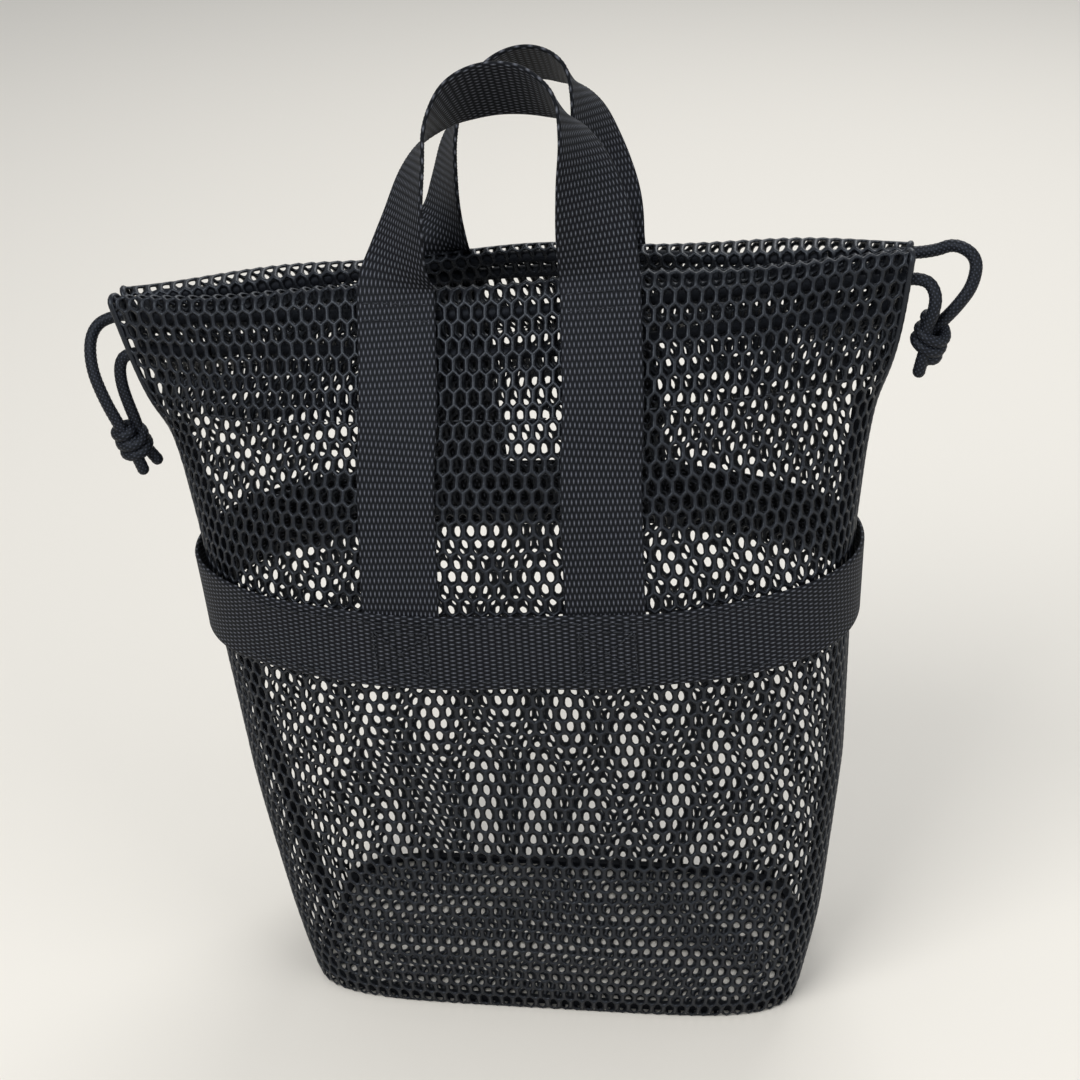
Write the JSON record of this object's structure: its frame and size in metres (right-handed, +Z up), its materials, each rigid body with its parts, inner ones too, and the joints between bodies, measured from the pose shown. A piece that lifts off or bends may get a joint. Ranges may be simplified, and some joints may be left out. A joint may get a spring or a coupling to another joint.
{
  "type": "mesh drawstring tote bag",
  "caption": "Small open-net tote bag with a folded drawstring hem, a webbing girth band, webbing carry handles and knotted pull cords at its ends.",
  "frame": {"origin": "middle of the flat base panel, on the surface that the bag stands on", "axes": "+Z up through the mouth, +X to the bag's right end seen from its front, +Y to its back"},
  "size_m": [0.2868, 0.1232, 0.3203],
  "materials": {
    "net": "open knitted polyester net, dull with faint blue-grey glints",
    "webbing": "woven nylon webbing, cross-ribbed, low sheen",
    "cord": "braided round cord, low sheen",
    "thread": "polyester sewing thread, slight sheen",
    "binding": "folded seam binding tape, matt"
  },
  "bodies": {
    "bag": {"back_band_stitching": "thread", "back_girth_band": "webbing", "back_hem_facing": "net", "back_hem_outer": "net", "back_hem_stitching": "thread", "back_left_strap": "webbing", "back_panel": "net", "back_right_strap": "webbing", "back_strap_box_stitching": "thread", "back_strap_rim_stitching": "thread", "base_panel": "net", "base_seam": "binding", "front_band_stitching": "thread", "front_girth_band": "webbing", "front_hem_facing": "net", "front_hem_outer": "net", "front_hem_stitching": "thread", "front_left_strap": "webbing", "front_panel": "net", "front_right_strap": "webbing", "front_strap_box_stitching": "thread", "front_strap_rim_stitching": "thread", "left_drawcord_channel_run": "cord", "left_side_seam": "binding", "right_drawcord_channel_run": "cord", "right_side_seam": "binding"},
    "front_handle": {"front_handle": "webbing"},
    "back_handle": {"back_handle": "webbing"},
    "left_drawcord": {"left_drawcord_back_strand": "cord", "left_drawcord_front_strand": "cord", "left_drawcord_knot": "cord", "left_drawcord_stubs": "cord", "left_drawcord_tails": "cord"},
    "right_drawcord": {"right_drawcord_back_strand": "cord", "right_drawcord_front_strand": "cord", "right_drawcord_knot": "cord", "right_drawcord_stubs": "cord", "right_drawcord_tails": "cord"}
  },
  "joints": [
    {"name": "front_handle_fold", "type": "hinge", "parent": "bag", "child": "front_handle", "pos_m": [-0.014, -0.01574, 0.253], "axis": [0.9969, 0, 0.0785], "range_deg": [-5, 100]},
    {"name": "back_handle_fold", "type": "hinge", "parent": "bag", "child": "back_handle", "pos_m": [-0.014, 0.02638, 0.253], "axis": [-0.9969, 0, -0.0785], "range_deg": [-5, 100]},
    {"name": "left_drawcord_pull", "type": "slide", "parent": "bag", "child": "left_drawcord", "axis": [-0.9969, 0, -0.0785], "range_m": [0, 0.02]},
    {"name": "right_drawcord_pull", "type": "slide", "parent": "bag", "child": "right_drawcord", "axis": [0.9969, 0, 0.0785], "range_m": [0, 0.02]}
  ]
}
